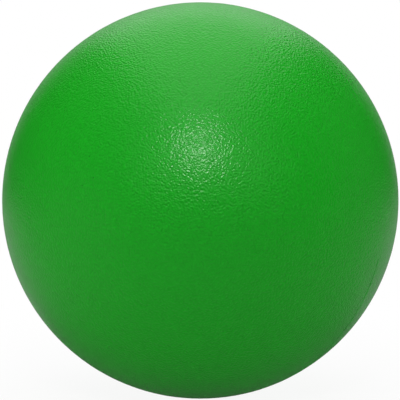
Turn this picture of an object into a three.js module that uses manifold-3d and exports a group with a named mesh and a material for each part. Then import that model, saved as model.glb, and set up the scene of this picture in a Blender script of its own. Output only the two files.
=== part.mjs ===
// Coated foam ball, 160 mm across, as it lies on a table.
//
// The skin is moulded as two half shells. Their rounded lips meet in a shallow seam that runs
// once round the ball, and a one-piece foam core fills them. Skin and foam flatten a little
// where the ball rests.
//
// Millimetres, +Z up. The origin is the middle of the flat that the ball rests on, and the
// seam lies in the XZ plane. skin_front is the half on the -Y side.

import * as THREE from 'three';
import { mergeVertices } from 'three/addons/utils/BufferGeometryUtils.js';
import Module from 'manifold-3d';

// Driving dimensions
const ballDiameter = 160;
const skinThickness = 1;
const bondGap = 0.3;
const seamWidth = 1.4;
const seamDepth = 0.3;
const restDepth = 0.5;

// Facets: round the ball, from a pole to the seam, and over one lip of the seam
const facetsAround = 60;
const facetsToSeam = 15;
const facetsOnLip = 3;

// Colours and finishes
const skinGreen = 0x1f8c27;
const skinRoughness = 0.38;
const foamCream = 0xe8dfc4;
const foamRoughness = 0.95;

// Derived sizes: each layer lies inside the one before it
const ballRadius = ballDiameter / 2;
const cavityRadius = ballRadius - skinThickness;
const coreRadius = cavityRadius - bondGap;

// Heights of the flats under the ball's centre
const restHeight = ballRadius - restDepth;
const cavityRestHeight = restHeight - skinThickness;
const coreRestHeight = cavityRestHeight - bondGap;

const wasm = await Module();
wasm.setup();

// Makes a solid of a closed geometry, welding its vertices by place alone.
function toSolid(geometry) {
  geometry.deleteAttribute('normal');
  geometry.deleteAttribute('uv');
  const welded = mergeVertices(geometry);
  const corners = welded.index.array;
  const triangles = [];
  for (let i = 0; i < corners.length; i += 3) {
    const [a, b, c] = corners.slice(i, i + 3);
    // A quad that ends on the axis leaves one triangle without area
    if (a !== b && b !== c && c !== a) {
      triangles.push(a, b, c);
    }
  }
  return new wasm.Manifold(new wasm.Mesh({
    numProp: 3,
    vertProperties: new Float32Array(welded.attributes.position.array),
    triVerts: new Uint32Array(triangles),
  }));
}

// Makes a geometry of a finished solid.
function toGeometry(solid) {
  const mesh = solid.getMesh();
  const geometry = new THREE.BufferGeometry();
  geometry.setAttribute('position', new THREE.BufferAttribute(mesh.vertProperties, 3));
  geometry.setIndex(new THREE.BufferAttribute(mesh.triVerts, 1));
  geometry.computeVertexNormals();
  return geometry;
}

// Profiles lie in the plane of the radius (x) and the ball's pole-to-pole axis (y).
// Lists the points of an arc, without its last one.
function arc(centre, radius, startAngle, endAngle, steps) {
  const points = [];
  for (let i = 0; i < steps; i += 1) {
    const angle = THREE.MathUtils.lerp(startAngle, endAngle, i / steps);
    points.push(new THREE.Vector2(
      centre.x + radius * Math.cos(angle),
      centre.y + radius * Math.sin(angle),
    ));
  }
  return points;
}

// Turns a profile about the pole-to-pole axis. Both its ends are on that axis.
function revolve(profile) {
  return toSolid(new THREE.LatheGeometry(profile, facetsAround));
}

// A whole ball about the centre.
function ballSolid(radius) {
  const pole = new THREE.Vector2(0, radius);
  return revolve([
    ...arc(new THREE.Vector2(), radius, -Math.PI / 2, Math.PI / 2, 2 * facetsToSeam),
    pole,
  ]);
}

// Half a ball, from its pole to the seam plane, with the skin's rounded lip at its rim.
// The lip is an arc that leaves the ball's curve smoothly and ends on the floor of the seam.
function lippedHalfBall() {
  const centre = new THREE.Vector2();
  const shoulderAngle = -Math.asin(seamWidth / 2 / ballRadius);
  const outward = new THREE.Vector2(Math.cos(shoulderAngle), Math.sin(shoulderAngle));
  const shoulder = outward.clone().multiplyScalar(ballRadius);
  const seamFloor = new THREE.Vector2(ballRadius - seamDepth, 0);

  const chord = shoulder.clone().sub(seamFloor);
  const lipRadius = chord.lengthSq() / (2 * chord.dot(outward));
  const lipCentre = shoulder.clone().addScaledVector(outward, -lipRadius);
  const floorAngle = seamFloor.clone().sub(lipCentre).angle();

  return revolve([
    ...arc(centre, ballRadius, -Math.PI / 2, shoulderAngle, facetsToSeam),
    ...arc(lipCentre, lipRadius, shoulderAngle, floorAngle, facetsOnLip),
    seamFloor,
    centre,
  ]);
}

// Cuts a solid flat at a height under the centre, where the ball rests.
function flattenBase(solid, height) {
  const slab = new THREE.BoxGeometry(ballDiameter, ballDiameter, ballRadius);
  slab.translate(0, 0, -height - ballRadius / 2);
  return solid.subtract(toSolid(slab));
}

function skinGeometry() {
  const outside = flattenBase(lippedHalfBall(), restHeight);
  const cavity = flattenBase(ballSolid(cavityRadius), cavityRestHeight);
  return toGeometry(outside.subtract(cavity));
}

function coreGeometry() {
  return toGeometry(flattenBase(ballSolid(coreRadius), coreRestHeight));
}

function skinMaterial() {
  return new THREE.MeshStandardMaterial({
    color: skinGreen,
    roughness: skinRoughness,
    metalness: 0,
  });
}

function foamMaterial() {
  return new THREE.MeshStandardMaterial({
    color: foamCream,
    roughness: foamRoughness,
    metalness: 0,
  });
}

// Both half shells come out of one mould, and the rear one is turned half a turn.
const skinFront = new THREE.Mesh(skinGeometry(), skinMaterial());
skinFront.name = 'skin_front';

const skinRear = new THREE.Mesh(skinGeometry(), skinMaterial());
skinRear.name = 'skin_rear';
skinRear.rotation.z = Math.PI;

const foamCore = new THREE.Mesh(coreGeometry(), foamMaterial());
foamCore.name = 'foam_core';

const ball = new THREE.Group();
ball.add(skinFront, skinRear, foamCore);
ball.position.z = restHeight;

export default ball;
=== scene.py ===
"""The looks of a coated foam ball, 160 mm across, resting on a pale floor.

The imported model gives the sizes. The skin is two moulded half shells that meet in a seam, and
a foam core fills them. Everything is in metres, with the ball's flat on the floor at the origin
and the seam in the XZ plane.
"""

from __future__ import annotations

import logging
import math
from collections.abc import Callable, Mapping
from dataclasses import dataclass, field
from enum import Enum

import bmesh
import bpy
from mathutils import Matrix, Vector, noise


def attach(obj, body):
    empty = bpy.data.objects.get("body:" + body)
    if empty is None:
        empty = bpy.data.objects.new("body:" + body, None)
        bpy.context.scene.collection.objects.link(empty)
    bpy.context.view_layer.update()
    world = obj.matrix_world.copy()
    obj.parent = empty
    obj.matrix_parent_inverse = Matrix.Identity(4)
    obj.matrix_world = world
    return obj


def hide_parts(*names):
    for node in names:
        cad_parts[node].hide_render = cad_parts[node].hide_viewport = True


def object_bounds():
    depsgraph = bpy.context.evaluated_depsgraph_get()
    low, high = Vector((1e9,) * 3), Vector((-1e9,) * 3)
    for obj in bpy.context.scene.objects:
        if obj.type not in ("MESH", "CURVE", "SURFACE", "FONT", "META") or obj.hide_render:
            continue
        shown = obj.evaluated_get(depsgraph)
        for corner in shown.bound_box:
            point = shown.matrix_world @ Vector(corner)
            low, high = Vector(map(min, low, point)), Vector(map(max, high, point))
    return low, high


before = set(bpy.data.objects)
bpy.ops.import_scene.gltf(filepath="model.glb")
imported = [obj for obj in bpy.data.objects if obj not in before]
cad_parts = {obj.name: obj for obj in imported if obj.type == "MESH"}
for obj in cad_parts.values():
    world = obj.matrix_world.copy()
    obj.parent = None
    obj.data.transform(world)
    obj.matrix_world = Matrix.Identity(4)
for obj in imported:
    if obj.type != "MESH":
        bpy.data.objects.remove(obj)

LOG = logging.getLogger("foam_ball")
MM = 0.001
WHITE = (1.0, 1.0, 1.0, 1.0)

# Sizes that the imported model's box gives, and the ones that lie inside it
CAD_LOW, CAD_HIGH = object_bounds()
BALL_RADIUS = (CAD_HIGH.y - CAD_LOW.y) / 2
REST_DEPTH = 0.5 * MM
SKIN_THICKNESS = 1.0 * MM
BOND_GAP = 0.3 * MM
CENTRE = Vector((0.0, 0.0, CAD_LOW.z + BALL_RADIUS - REST_DEPTH))


class Half(Enum):
    """The side of the seam that a half skin lies on, as the sign of its pole on the Y axis."""

    FRONT = -1
    REAR = 1


def linear(hex_colour: str) -> tuple[float, float, float, float]:
    """Turns an sRGB hex colour into the linear colour that a shader takes.

    Args:
        hex_colour: Six hex digits after a hash sign.

    Returns:
        Red, green, blue and a full alpha.
    """
    channels = []
    for start in (1, 3, 5):
        value = int(hex_colour[start : start + 2], 16) / 255
        channels.append(value / 12.92 if value <= 0.04045 else ((value + 0.055) / 1.055) ** 2.4)
    return (channels[0], channels[1], channels[2], 1.0)


def add_node(
    tree: bpy.types.NodeTree,
    kind: str,
    settings: Mapping[str | int, object] | None = None,
    links: Mapping[str | int, bpy.types.NodeSocket] | None = None,
) -> bpy.types.Node:
    """Adds a node, sets it up and links what feeds it.

    Args:
        tree: The node tree that gets the node.
        kind: The node's type.
        settings: Values by property, input name or input number.
        links: Output sockets by the input that each one feeds.

    Returns:
        The new node.
    """
    node = tree.nodes.new(kind)
    for name, value in (settings or {}).items():
        if isinstance(name, str) and hasattr(node, name):
            setattr(node, name, value)
        else:
            node.inputs[name].default_value = value
    for name, source in (links or {}).items():
        tree.links.new(source, node.inputs[name])
    return node


def new_tree(name: str) -> tuple[bpy.types.Material, bpy.types.NodeTree]:
    """Makes a material with an empty node tree.

    Args:
        name: The material's name.

    Returns:
        The material and its tree.
    """
    material = bpy.data.materials.new(name)
    material.use_nodes = True
    material.node_tree.nodes.clear()
    return material, material.node_tree


def make_active(piece: bpy.types.Object) -> None:
    """Selects one object alone and makes it the active one.

    Args:
        piece: The object.
    """
    bpy.ops.object.select_all(action="DESELECT")
    piece.select_set(True)
    bpy.context.view_layer.objects.active = piece


def new_piece(name: str) -> bpy.types.Object:
    """Names the primitive just added, and moves its place into its mesh.

    Args:
        name: The piece's name.

    Returns:
        The piece, with its object at the origin.
    """
    piece = bpy.context.active_object
    piece.name = name
    piece.data.name = name
    make_active(piece)
    bpy.ops.object.transform_apply(location=True, rotation=True, scale=True)
    return piece


def select_points(piece: bpy.types.Object, wanted: Callable[[Vector], bool]) -> int:
    """Selects, in edit mode, the vertices whose place passes a test.

    Args:
        piece: The object in edit mode.
        wanted: The test of a vertex's place.

    Returns:
        How many vertices are selected.
    """
    bpy.ops.mesh.select_mode(type="VERT")
    bpy.ops.mesh.select_all(action="DESELECT")
    mesh = bmesh.from_edit_mesh(piece.data)
    for vertex in mesh.verts:
        vertex.select_set(wanted(vertex.co))
    mesh.select_flush_mode()
    bmesh.update_edit_mesh(piece.data)
    return sum(vertex.select for vertex in mesh.verts)


def extrude_to(place: Vector, target: Vector) -> Vector:
    """Extrudes the selected vertex to a new place.

    Args:
        place: Where the selected vertex is.
        target: Where the new vertex goes.

    Returns:
        The new vertex's place.
    """
    bpy.ops.mesh.extrude_vertices_move(TRANSFORM_OT_translate={"value": target - place})
    return target


def flatten(piece: bpy.types.Object, height: float, wanted: Callable[[Vector], bool]) -> None:
    """Presses the vertices that pass a test flat onto a level plane, in edit mode.

    Args:
        piece: The object in edit mode.
        height: The plane's height.
        wanted: The test of a vertex's place.
    """
    if select_points(piece, wanted):
        bpy.ops.transform.resize(value=(1, 1, 0), center_override=(0, 0, height))


def displace(
    piece: bpy.types.Object,
    name: str,
    pitch: float,
    height: float,
    group: str = "",
) -> None:
    """Raises and lowers a piece's surface by soft noise, and applies it.

    Args:
        piece: The object.
        name: The name of the noise.
        pitch: About how far apart its bumps are.
        height: From the deepest hollow to the highest bump.
        group: The vertex group that it is limited to.
    """
    texture = bpy.data.textures.new(name, "CLOUDS")
    texture.noise_basis = "IMPROVED_PERLIN"
    texture.noise_scale = pitch
    texture.noise_depth = 1
    make_active(piece)
    modifier = piece.modifiers.new(name, "DISPLACE")
    modifier.texture = texture
    modifier.texture_coords = "LOCAL"
    modifier.strength = height
    modifier.mid_level = 0.5
    modifier.vertex_group = group
    bpy.ops.object.modifier_apply(modifier=name)


@dataclass(frozen=True)
class MouldedSkin:
    """Solid-coloured polyurethane skin, sprayed into a mould before the foam is poured.

    The eye sees an even, deep green with a soft gloss. The pigmented layer gives a broad sheen
    in its own colour, and has a fine pebbly relief, like orange peel, whose hollows are painted a
    darker green as painted shade. A thin clear film, which levels the relief a little, gives the
    white gloss, broken into small glints. A few dark dots are painted shade that stands for
    pinholes left by trapped air, and the seam's groove is painted darker as painted shade. All
    lengths are in millimetres.
    """

    colour: str = "#07920e"
    # The darker green of the relief's hollows is painted shade
    hollow_shade_colour: str = "#067f0b"
    # The dark dots of the pinholes are painted shade
    pinhole_shade_colour: str = "#005f06"
    # The seam's groove is painted darker as painted shade
    seam_shade_colour: str = "#0b4a0e"
    sheen_colour: str = "#54ff70"
    body_roughness: float = 0.6
    film_share: float = 0.66
    film_roughness: float = 0.245
    film_refraction: float = 1.45
    # One cell of the noise at its real size, which makes the bumps repeat about every 1.5 mm
    peel_pitch: float = 0.75
    # The relief's height at the poles, and how many times higher it is near the seam
    peel_height: float = 0.35
    peel_growth: float = 1.4
    levelled_height: float = 0.175
    levelled_growth: float = 1.2
    # Where it stops growing and where it starts, as shares of the way from the seam to the pole
    high_and_low: tuple[float, float] = (0.4, 0.85)
    # How far a pinhole's painted shade is at its darkest, and where it ends
    pinhole_reach: tuple[float, float] = (0.18, 0.42)
    # Places from the ball's centre, three on each half
    pinholes: tuple[tuple[float, float, float], ...] = (
        (-7.4, -76.8, 21.1),
        (-4.6, -78.7, 13.4),
        (-9.4, -78.75, 10.3),
        (20.0, 72.0, 28.5),
        (26.5, 74.0, 15.0),
        (-48.0, 60.0, -22.0),
    )
    # Depths below the ball's curve, and distances from the seam plane: full painted shade, then
    # none
    groove_shade_depth: tuple[float, float] = (0.26, 0.08)
    groove_shade_reach: tuple[float, float] = (0.3, 0.6)

    def reliefs(
        self,
        tree: bpy.types.NodeTree,
        peel: bpy.types.NodeSocket,
        from_seam: bpy.types.NodeSocket,
    ) -> list[bpy.types.NodeSocket]:
        """Bumps the pigmented layer and the clear film over it, more so towards the seam.

        Args:
            tree: The material's node tree.
            peel: The noise of the relief.
            from_seam: The distance from the seam plane.

        Returns:
            The normal of the pigmented layer, and that of the film.
        """
        high, low = self.high_and_low
        normals = []
        for height, growth in (
            (self.peel_height, self.peel_growth),
            (self.levelled_height, self.levelled_growth),
        ):
            distance = add_node(
                tree,
                "ShaderNodeMapRange",
                {
                    "From Min": high * BALL_RADIUS,
                    "From Max": low * BALL_RADIUS,
                    "To Min": growth * height * MM,
                    "To Max": height * MM,
                },
                {"Value": from_seam},
            ).outputs["Result"]
            bump = add_node(
                tree,
                "ShaderNodeBump",
                {"Strength": 1.0},
                {"Height": peel, "Distance": distance},
            )
            normals.append(bump.outputs["Normal"])
        return normals

    def pinhole_shade_mask(
        self, tree: bpy.types.NodeTree, place: bpy.types.NodeSocket
    ) -> bpy.types.NodeSocket:
        """Masks a small dot round the place of each pinhole, for its painted shade.

        Args:
            tree: The material's node tree.
            place: The object coordinates.

        Returns:
            A value of 1 in a pinhole and 0 outside.
        """
        distances = [
            add_node(
                tree,
                "ShaderNodeVectorMath",
                {"operation": "DISTANCE", 1: CENTRE + Vector(spot) * MM},
                {0: place},
            ).outputs["Value"]
            for spot in self.pinholes
        ]
        nearest = distances[0]
        for distance in distances[1:]:
            nearest = add_node(
                tree, "ShaderNodeMath", {"operation": "MINIMUM"}, {0: nearest, 1: distance}
            ).outputs["Value"]
        dark, clear = (reach * MM for reach in self.pinhole_reach)
        return add_node(
            tree,
            "ShaderNodeMapRange",
            {"From Min": dark, "From Max": clear, "To Min": 1.0, "To Max": 0.0},
            {"Value": nearest},
        ).outputs["Result"]

    def groove_shade_mask(
        self,
        tree: bpy.types.NodeTree,
        place: bpy.types.NodeSocket,
        from_seam: bpy.types.NodeSocket,
    ) -> bpy.types.NodeSocket:
        """Masks the seam's groove, where it lies deeper than the skin beside it, for its painted
        shade.

        Args:
            tree: The material's node tree.
            place: The object coordinates.
            from_seam: The distance from the seam plane.

        Returns:
            A value of 1 at the bottom of the groove and 0 outside it.
        """
        from_centre = add_node(
            tree, "ShaderNodeVectorMath", {"operation": "DISTANCE", 1: CENTRE}, {0: place}
        ).outputs["Value"]
        deep, shallow = (BALL_RADIUS - depth * MM for depth in self.groove_shade_depth)
        near, far = (reach * MM for reach in self.groove_shade_reach)
        is_deep, is_near = (
            add_node(
                tree,
                "ShaderNodeMapRange",
                {"From Min": full, "From Max": none, "To Min": 1.0, "To Max": 0.0},
                {"Value": distance},
            ).outputs["Result"]
            for distance, full, none in ((from_centre, deep, shallow), (from_seam, near, far))
        )
        return add_node(
            tree, "ShaderNodeMath", {"operation": "MULTIPLY"}, {0: is_deep, 1: is_near}
        ).outputs["Value"]

    def material(self) -> bpy.types.Material:
        """Builds the material.

        Returns:
            The skin's material.
        """
        material, tree = new_tree("moulded_polyurethane_skin")
        place = add_node(tree, "ShaderNodeTexCoord").outputs["Object"]
        across = add_node(tree, "ShaderNodeSeparateXYZ", {}, {0: place}).outputs["Y"]
        from_seam = add_node(
            tree, "ShaderNodeMath", {"operation": "ABSOLUTE"}, {0: across}
        ).outputs["Value"]
        peel = add_node(
            tree,
            "ShaderNodeTexNoise",
            {"Scale": 1 / (self.peel_pitch * MM), "Detail": 0.0},
            {"Vector": place},
        ).outputs["Fac"]
        # Painted shade: where the noise is low, in the relief's hollows, the green is darker
        colour = add_node(
            tree,
            "ShaderNodeMix",
            {"data_type": "RGBA", 6: linear(self.hollow_shade_colour), 7: linear(self.colour)},
            {0: peel},
        ).outputs[2]
        # Painted shade in the pinholes and in the seam's groove
        for mask, shade_colour in (
            (self.pinhole_shade_mask(tree, place), self.pinhole_shade_colour),
            (self.groove_shade_mask(tree, place, from_seam), self.seam_shade_colour),
        ):
            colour = add_node(
                tree,
                "ShaderNodeMix",
                {"data_type": "RGBA", 7: linear(shade_colour)},
                {0: mask, 6: colour},
            ).outputs[2]
        body_normal, film_normal = self.reliefs(tree, peel, from_seam)
        shader = add_node(
            tree,
            "ShaderNodeBsdfPrincipled",
            {
                "Roughness": self.body_roughness,
                "Specular Tint": linear(self.sheen_colour),
                "Coat Weight": self.film_share,
                "Coat Roughness": self.film_roughness,
                "Coat IOR": self.film_refraction,
            },
            {"Base Color": colour, "Normal": body_normal, "Coat Normal": film_normal},
        ).outputs["BSDF"]
        add_node(tree, "ShaderNodeOutputMaterial", {}, {"Surface": shader})
        return material


@dataclass(frozen=True)
class OpenCellFoam:
    """Moulded flexible polyurethane foam.

    The eye sees a matt cream body, whose burst cells show as small dark pores, painted darker as
    painted shade. The lengths are in millimetres.
    """

    colour: str = "#ece4cc"
    pore_shade_colour: str = "#b9ab86"
    roughness: float = 0.95
    # Real cells are about half this size, too fine to show, so they are drawn coarser
    cell_size: float = 0.9
    pore_depth: float = 0.2
    pore_strength: float = 0.6

    def material(self) -> bpy.types.Material:
        """Builds the material.

        Returns:
            The foam's material.
        """
        material, tree = new_tree("open_cell_polyurethane_foam")
        place = add_node(tree, "ShaderNodeTexCoord").outputs["Object"]
        cells = add_node(
            tree,
            "ShaderNodeTexVoronoi",
            {"Scale": 1 / (self.cell_size * MM)},
            {"Vector": place},
        ).outputs["Distance"]
        # Painted shade: the pores at the cells' middles are a darker cream
        tint = add_node(
            tree,
            "ShaderNodeMix",
            {"data_type": "RGBA", 6: linear(self.pore_shade_colour), 7: linear(self.colour)},
            {0: cells},
        ).outputs[2]
        bump = add_node(
            tree,
            "ShaderNodeBump",
            {"Strength": self.pore_strength, "Distance": self.pore_depth * MM},
            {"Height": cells},
        ).outputs["Normal"]
        shader = add_node(
            tree,
            "ShaderNodeBsdfPrincipled",
            {"Roughness": self.roughness},
            {"Base Color": tint, "Normal": bump},
        ).outputs["BSDF"]
        add_node(tree, "ShaderNodeOutputMaterial", {}, {"Surface": shader})
        return material


@dataclass
class SkinHalf:
    """One moulded half of the skin, with the rounded lip that meets the other half's."""

    half: Half
    radius: float = BALL_RADIUS
    thickness: float = SKIN_THICKNESS
    seam_half_width: float = 0.7 * MM
    seam_depth: float = 0.3 * MM
    # The bead's distance from the seam plane, its width and its height
    bead_reach: float = 1.7 * MM
    bead_width: float = 0.8 * MM
    bead_height: float = 0.07 * MM
    # The bead's usual height as a share of the full one, and how many times a metre it varies
    bead_usual: float = 0.6
    bead_changes: float = 90.0
    # Degrees round the seam, from +X towards +Z, where it is closed, and the length of each end
    closed_stretches: tuple[tuple[float, float], ...] = ((-15.0, 28.0), (118.0, 151.0))
    closed_end: float = 2.5
    # How full the open seam is as a rule, then how fast and how much that varies, twice
    usual_filling: float = 0.25
    filling_changes: tuple[tuple[float, float], ...] = ((9.0, 0.8), (31.0, 0.6))
    # The mesh's steps from pole to seam, outside and inside, round the ball and along the lip
    rings: int = 150
    inner_rings: int = 30
    spokes: int = 512
    lip_steps: int = 6
    # The skin's slow waves and its coarse grain, and the share of both that the pole has
    wave_pitch: float = 8.0 * MM
    wave_height: float = 0.04 * MM
    grain_pitch: float = 2.4 * MM
    grain_height: float = 0.12 * MM
    grain_at_pole: float = 0.4
    # How close vertices are found at one place, and how close they are merged
    same_place: float = 0.01 * MM
    weld_distance: float = 0.001 * MM
    smooth_angle: float = 35.0
    piece: bpy.types.Object = field(init=False)

    @property
    def name(self) -> str:
        """The piece's name."""
        return f"{self.half.name.lower()}_skin_moulding"

    @property
    def node(self) -> str:
        """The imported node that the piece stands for."""
        return f"skin_{self.half.name.lower()}"

    def is_outside(self, reach: float) -> bool:
        """Says whether a vertex this far from the ball's centre is on the outer surface."""
        return reach > self.radius - self.seam_depth - self.same_place

    def point(self, radius: float, height: float) -> Vector:
        """Places a profile point.

        Args:
            radius: Its distance from the pole-to-pole axis.
            height: Its distance from the seam plane.

        Returns:
            The point in the level plane through the ball's centre.
        """
        return CENTRE + Vector((radius, self.half.value * height, 0.0))

    def lip_points(self) -> list[Vector]:
        """Lists the lip's points, from the shoulder to the floor of the seam.

        Returns:
            Points on an arc that leaves the ball's curve smoothly.
        """
        angle = math.asin(self.seam_half_width / self.radius)
        outward = Vector((math.cos(angle), math.sin(angle)))
        shoulder = outward * self.radius
        floor = Vector((self.radius - self.seam_depth, 0.0))
        chord = shoulder - floor
        lip_radius = chord.length_squared / (2 * chord.dot(outward))
        middle = shoulder - outward * lip_radius
        end = math.atan2(floor.y - middle.y, floor.x - middle.x)
        points = []
        for step in range(self.lip_steps + 1):
            turn = angle + (end - angle) * step / self.lip_steps
            points.append(
                self.point(
                    middle.x + lip_radius * math.cos(turn),
                    middle.y + lip_radius * math.sin(turn),
                )
            )
        return points

    def draw_profile(self) -> None:
        """Draws the half's section from the outer pole round the lip to the inner pole."""
        bpy.ops.mesh.primitive_circle_add(
            vertices=4 * self.rings, radius=self.radius, location=CENTRE
        )
        self.piece = new_piece(self.name)
        bpy.ops.object.mode_set(mode="EDIT")
        side = self.half.value
        # The arc stops a little before the seam's edge, where the lip takes over
        last = 1.1 * self.seam_half_width
        select_points(self.piece, lambda p: p.x < -self.same_place or side * p.y < last)
        bpy.ops.mesh.delete(type="VERT")
        mesh = bmesh.from_edit_mesh(self.piece.data)
        place = max((v.co.copy() for v in mesh.verts), key=lambda p: p.x)
        select_points(self.piece, lambda p: (p - place).length < self.same_place)
        for target in self.lip_points():
            place = extrude_to(place, target)
        inner = self.radius - self.thickness
        for step in range(self.inner_rings + 1):
            turn = math.pi / 2 * step / self.inner_rings
            place = extrude_to(
                place, self.point(inner * math.cos(turn), inner * math.sin(turn))
            )

    def spin_profile(self) -> None:
        """Turns the section through an eighth, and doubles that up to a whole turn."""
        bpy.ops.mesh.select_all(action="SELECT")
        bpy.ops.mesh.spin(
            steps=self.spokes // 8, angle=math.pi / 4, center=CENTRE, axis=(0, 1, 0)
        )
        for turn in (math.pi / 4, math.pi / 2, math.pi):
            bpy.ops.mesh.select_all(action="SELECT")
            bpy.ops.mesh.duplicate()
            bpy.ops.transform.rotate(value=turn, orient_axis="Y", center_override=CENTRE)
        bpy.ops.mesh.select_all(action="SELECT")
        bpy.ops.mesh.remove_doubles(threshold=self.weld_distance)
        bpy.ops.mesh.normals_make_consistent(inside=False)
        bpy.ops.object.mode_set(mode="OBJECT")

    def mark_outside(self) -> None:
        """Weights the outer surface, fading to the pole and to nothing at the seam's floor."""
        outside = self.piece.vertex_groups.new(name="outside")
        fade = 2 * self.seam_half_width
        for vertex in self.piece.data.vertices:
            if self.is_outside((vertex.co - CENTRE).length):
                from_seam = abs(vertex.co.y)
                weight = 1.0 - (1.0 - self.grain_at_pole) * from_seam / self.radius
                outside.add([vertex.index], weight * min(1.0, from_seam / fade), "REPLACE")

    def closing(self, turn: float) -> float:
        """Says how far the seam is filled at one place round the ball.

        Args:
            turn: The angle round the seam in degrees, from +X towards +Z.

        Returns:
            From 0, an open groove, to 1, bridged over flush.
        """
        closed = 0.0
        for start, end in self.closed_stretches:
            inside = min(turn - start, end - turn)
            closed = max(closed, min(1.0, max(0.0, inside / self.closed_end + 0.5)))
        radians = math.radians(turn)
        around = Vector((math.cos(radians), math.sin(radians), 0.0))
        patchy = sum(
            noise.noise(around * rate) * amount for rate, amount in self.filling_changes
        )
        return min(1.0, max(closed, self.usual_filling + patchy))

    def shape_seam(self) -> None:
        """Bridges the seam in places, and raises a low uneven bead along its edge."""
        for vertex in self.piece.data.vertices:
            offset = vertex.co - CENTRE
            height = abs(offset.y)
            reach = offset.length
            if height > 2 * self.bead_reach or not self.is_outside(reach):
                continue
            turn = math.degrees(math.atan2(offset.z, offset.x))
            filling = (self.radius - reach) * self.closing(turn)
            bell = math.exp(-(((height - self.bead_reach) / self.bead_width) ** 2))
            uneven = self.bead_usual + noise.noise(vertex.co * self.bead_changes)
            lift = filling + self.bead_height * bell * uneven
            vertex.co = CENTRE + offset * ((reach + lift) / reach)

    def press_base(self) -> None:
        """Presses the outside and the inside flat where the ball rests."""
        middle = self.radius - self.thickness / 2
        bpy.ops.object.mode_set(mode="EDIT")
        flatten(
            self.piece,
            CAD_LOW.z,
            lambda p: p.z < CAD_LOW.z and (p - CENTRE).length > middle,
        )
        inner_flat = CAD_LOW.z + self.thickness
        flatten(
            self.piece,
            inner_flat,
            lambda p: CAD_LOW.z < p.z < inner_flat and (p - CENTRE).length < middle,
        )
        bpy.ops.object.mode_set(mode="OBJECT")

    def build(self) -> bpy.types.Object:
        """Models the half skin.

        Returns:
            The finished piece.
        """
        self.draw_profile()
        self.spin_profile()
        self.shape_seam()
        self.mark_outside()
        displace(self.piece, "skin_waves", self.wave_pitch, self.wave_height, "outside")
        displace(self.piece, "skin_grain", self.grain_pitch, self.grain_height, "outside")
        self.press_base()
        make_active(self.piece)
        bpy.ops.object.shade_smooth_by_angle(angle=math.radians(self.smooth_angle))
        return self.piece

    def dress(self, finish: MouldedSkin) -> None:
        """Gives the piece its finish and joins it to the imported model.

        Args:
            finish: The piece's finish.
        """
        self.piece.data.materials.append(finish.material())
        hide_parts(self.node)
        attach(self.piece, "root")


@dataclass
class FoamCore:
    """The one-piece foam ball that fills the skin."""

    radius: float = BALL_RADIUS - SKIN_THICKNESS - BOND_GAP
    subdivisions: int = 7
    # The core's coarse relief
    cell_pitch: float = 2.5 * MM
    cell_height: float = 0.2 * MM
    name: str = "foam_core_moulding"
    piece: bpy.types.Object = field(init=False)

    def build(self) -> bpy.types.Object:
        """Models the core.

        Returns:
            The finished piece.
        """
        bpy.ops.mesh.primitive_ico_sphere_add(
            subdivisions=self.subdivisions,
            radius=self.radius - self.cell_height / 2,
            location=CENTRE,
        )
        self.piece = new_piece(self.name)
        displace(self.piece, "foam_cells", self.cell_pitch, self.cell_height)
        flat = CAD_LOW.z + SKIN_THICKNESS + BOND_GAP
        bpy.ops.object.mode_set(mode="EDIT")
        flatten(self.piece, flat, lambda p: p.z < flat)
        bpy.ops.object.mode_set(mode="OBJECT")
        make_active(self.piece)
        bpy.ops.object.shade_smooth()
        return self.piece

    def dress(self, finish: OpenCellFoam) -> None:
        """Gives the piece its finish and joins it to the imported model.

        Args:
            finish: The piece's finish.
        """
        self.piece.data.materials.append(finish.material())
        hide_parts("foam_core")
        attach(self.piece, "root")


@dataclass(frozen=True)
class Softbox:
    """A soft lamp or a lit white board that faces the ball.

    Its place is in metres to the camera's right, up and towards the camera from the ball's
    centre. Its radiance is how bright its face looks, where 1 is the white of the backdrop.
    """

    name: str
    place: tuple[float, float, float]
    width: float
    depth: float
    radiance: float
    in_gloss: bool = True


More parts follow.
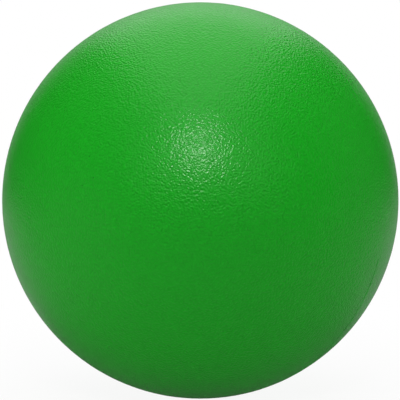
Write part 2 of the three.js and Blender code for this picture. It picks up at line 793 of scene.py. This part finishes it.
@dataclass
class Studio:
    """The pale floor, the white backdrop, the lamps and the camera."""

    azimuth: float = 26.7
    elevation: float = 4.1
    distance_in_radii: float = 9.7
    # The ball's radius and the camera's shift on the photo, as shares of its side
    ball_share: float = 198.23 / 400
    shift: tuple[float, float] = (-0.33 / 400, 0.46 / 400)
    sensor: float = 36.0
    view_limit: float = 50.0
    # The world's light on the matt skin, and how bright its gloss shows the backdrop
    fill_light: float = 0.09
    backdrop_in_gloss: float = 0.02
    floor_radius: float = 6.0
    floor_sides: int = 128
    floor_colour: str = "#d2d2d2"
    # The middle of the floor's painted pool of light lies this far behind the ball, and its glow
    # fades out between these distances from that middle
    patch_behind: float = 0.7
    floor_glow: float = 0.72
    glow_reach: tuple[float, float] = (0.66, 0.88)
    # How bright gloss shows the floor in the painted pool of light and outside it, and where it
    # passes over
    gloss_inside: float = 0.42
    gloss_outside: float = 0.1
    gloss_reach: tuple[float, float] = (0.5, 0.9)
    # What is left of that in the painted shadow under the ball, and where it is whole again
    painted_shadow_gloss: float = 0.35
    painted_shadow_reach: tuple[float, float] = (0.06, 0.16)
    # How much of the shadow the camera sees, and where it fades out round the ball
    shadow_share: float = 0.08
    shadow_reach: tuple[float, float] = (0.12, 0.30)
    # The lamps that gloss shows, then the light that the room and the table give back
    lamps: tuple[Softbox, ...] = (
        Softbox("overhead_softbox", (0.0, 0.79, -0.13), 0.85, 2.0, 1.0),
        Softbox("key_softbox", (-0.02, 0.615, 1.135), 0.175, 0.175, 46.0),
        Softbox("key_spill", (0.1, 0.43, 1.2), 2.1, 0.7, 0.64),
        Softbox("backdrop_light", (0.0, 0.36, -1.45), 1.5, 0.8, 0.38),
        Softbox("ceiling_bounce", (-0.05, 0.86, 0.28), 1.6, 1.4, 1.78, in_gloss=False),
        Softbox("left_board", (-1.2, 0.19, -0.05), 1.8, 0.53, 0.62, in_gloss=False),
        Softbox("right_board", (1.2, 0.14, -0.05), 1.8, 0.53, 0.66, in_gloss=False),
        Softbox("left_reflector", (-0.45, 0.0, 0.0), 0.7, 0.14, 1.2, in_gloss=False),
        Softbox("right_reflector", (0.45, -0.01, 0.0), 0.7, 0.14, 2.7, in_gloss=False),
    )

    def directions(self) -> tuple[Vector, Vector, Vector]:
        """Works out the camera's axes.

        Returns:
            The way back to the camera, its right and its up.
        """
        turn, lift = math.radians(self.azimuth), math.radians(self.elevation)
        back = Vector(
            (
                math.sin(turn) * math.cos(lift),
                -math.cos(turn) * math.cos(lift),
                math.sin(lift),
            )
        )
        right = Vector((math.cos(turn), math.sin(turn), 0.0))
        return back, right, back.cross(right)

    def place_camera(self) -> None:
        """Puts the camera where the photo was taken from."""
        back, _, _ = self.directions()
        data = bpy.data.cameras.new("camera")
        camera = bpy.data.objects.new("camera", data)
        bpy.context.scene.collection.objects.link(camera)
        camera.location = CENTRE + back * self.distance_in_radii * BALL_RADIUS
        camera.rotation_euler = back.to_track_quat("Z", "Y").to_euler()
        data.sensor_width = self.sensor
        half_angle = math.asin(1 / self.distance_in_radii)
        data.lens = self.ball_share * self.sensor / math.tan(half_angle)
        data.shift_x, data.shift_y = self.shift
        data.clip_end = self.view_limit
        bpy.context.scene.camera = camera

    def place_lamps(self) -> None:
        """Hangs the soft lamps round the ball, each with one side along the camera's right."""
        back, right, up = self.directions()
        for lamp in self.lamps:
            sideways, upwards, forwards = lamp.place
            offset = right * sideways + up * upwards + back * forwards
            way = offset.normalized()
            across = (right - way * right.dot(way)).normalized()
            data = bpy.data.lights.new(lamp.name, "AREA")
            data.shape = "RECTANGLE"
            data.size = lamp.width
            data.size_y = lamp.depth
            data.energy = math.pi * lamp.width * lamp.depth * lamp.radiance
            light = bpy.data.objects.new(lamp.name, data)
            bpy.context.scene.collection.objects.link(light)
            light.location = CENTRE + offset
            light.rotation_euler = Matrix((across, way.cross(across), way)).transposed().to_euler()
            light.visible_camera = False
            light.visible_glossy = lamp.in_gloss

    def paint_world(self) -> None:
        """Gives a soft grey fill, and a white backdrop to the camera.

        Light Path's glossy rays see the backdrop too, as dim as the ball's rim shows it.
        """
        world = bpy.data.worlds.new("studio")
        bpy.context.scene.world = world
        world.use_nodes = True
        tree = world.node_tree
        tree.nodes.clear()
        path = add_node(tree, "ShaderNodeLightPath")
        strength = add_node(
            tree,
            "ShaderNodeMix",
            {"data_type": "FLOAT", 2: self.fill_light, 3: self.backdrop_in_gloss},
            {0: path.outputs["Is Glossy Ray"]},
        ).outputs[0]
        for ray in ("Is Transmission Ray", "Is Camera Ray"):
            strength = add_node(
                tree,
                "ShaderNodeMix",
                {"data_type": "FLOAT", 3: 1.0},
                {0: path.outputs[ray], 2: strength},
            ).outputs[0]
        light = add_node(
            tree, "ShaderNodeBackground", {"Color": WHITE}, {"Strength": strength}
        ).outputs["Background"]
        add_node(tree, "ShaderNodeOutputWorld", {}, {"Surface": light})

    def floor_material(self) -> bpy.types.Material:
        """Builds the material of a matt white floor, which shows each kind of ray its own look.

        The camera sees the ball's soft shadow, which fades to white further out. Gloss sees the
        floor with a painted pool of light behind the ball, dim in front of it, and a painted shadow
        where the ball touches it. Any other ray finds it matt, with a soft glow behind and under
        the ball, like a lit shooting table.

        Returns:
            The floor's material.
        """
        material, tree = new_tree("matt_white_floor")
        place = add_node(tree, "ShaderNodeTexCoord").outputs["Object"]
        back, _, _ = self.directions()
        patch = Vector((-back.x, -back.y, 0.0)).normalized() * self.patch_behind
        from_patch, from_ball = (
            add_node(
                tree, "ShaderNodeVectorMath", {"operation": "DISTANCE", 1: spot}, {0: place}
            ).outputs["Value"]
            for spot in (patch, Vector())
        )
        glow, gloss, painted_shadow, shadow = (
            add_node(
                tree,
                "ShaderNodeMapRange",
                {
                    "interpolation_type": "SMOOTHSTEP",
                    "From Min": inner,
                    "From Max": outer,
                    "To Min": near,
                    "To Max": far,
                },
                {"Value": distance},
            ).outputs["Result"]
            for distance, (inner, outer), near, far in (
                (from_patch, self.glow_reach, self.floor_glow, 0.0),
                (from_patch, self.gloss_reach, self.gloss_inside, self.gloss_outside),
                (from_ball, self.painted_shadow_reach, self.painted_shadow_gloss, 1.0),
                (from_ball, self.shadow_reach, 1.0, 0.0),
            )
        )
        # Gloss sees painted light: a pool of light behind the ball and a painted shadow under it
        in_gloss = add_node(
            tree, "ShaderNodeMath", {"operation": "MULTIPLY"}, {0: gloss, 1: painted_shadow}
        ).outputs["Value"]
        matt = add_node(
            tree, "ShaderNodeBsdfDiffuse", {"Color": linear(self.floor_colour)}
        ).outputs["BSDF"]
        white = add_node(tree, "ShaderNodeEmission", {"Strength": 1.0}).outputs["Emission"]
        glowing, mirrored = (
            add_node(tree, "ShaderNodeEmission", {}, {"Strength": strength}).outputs["Emission"]
            for strength in (glow, in_gloss)
        )
        lit = add_node(tree, "ShaderNodeAddShader", {}, {0: matt, 1: glowing}).outputs[0]
        shadowed = add_node(
            tree, "ShaderNodeMixShader", {0: self.shadow_share}, {1: white, 2: matt}
        ).outputs[0]
        path = add_node(tree, "ShaderNodeLightPath")
        unseen = add_node(
            tree, "ShaderNodeMixShader", {}, {0: path.outputs["Is Glossy Ray"], 1: lit, 2: mirrored}
        ).outputs[0]
        seen = add_node(
            tree, "ShaderNodeMixShader", {}, {0: shadow, 1: white, 2: shadowed}
        ).outputs[0]
        shown = add_node(
            tree, "ShaderNodeMixShader", {}, {0: path.outputs["Is Camera Ray"], 1: unseen, 2: seen}
        ).outputs[0]
        add_node(tree, "ShaderNodeOutputMaterial", {}, {"Surface": shown})
        return material

    def lay_floor(self) -> None:
        """Lays the pale floor, far wider than the camera sees."""
        bpy.ops.mesh.primitive_circle_add(
            vertices=self.floor_sides, radius=self.floor_radius, fill_type="NGON"
        )
        floor = new_piece("floor")
        floor.data.materials.append(self.floor_material())

    def build(self) -> None:
        """Sets up the whole studio."""
        self.place_camera()
        self.place_lamps()
        self.paint_world()
        self.lay_floor()
        bpy.context.scene.view_settings.view_transform = "Standard"


def main() -> None:
    """Builds the studio and the ball, and reports each piece."""
    logging.basicConfig(level=logging.INFO, format="%(name)s: %(message)s")
    Studio().build()
    skin = MouldedSkin()
    for half in Half:
        part = SkinHalf(half)
        part.build()
        part.dress(skin)
        LOG.info("%s: %d faces", part.name, len(part.piece.data.polygons))
    core = FoamCore()
    core.build()
    core.dress(OpenCellFoam())
    LOG.info("%s: %d faces", core.name, len(core.piece.data.polygons))


if __name__ == "__main__":
    main()
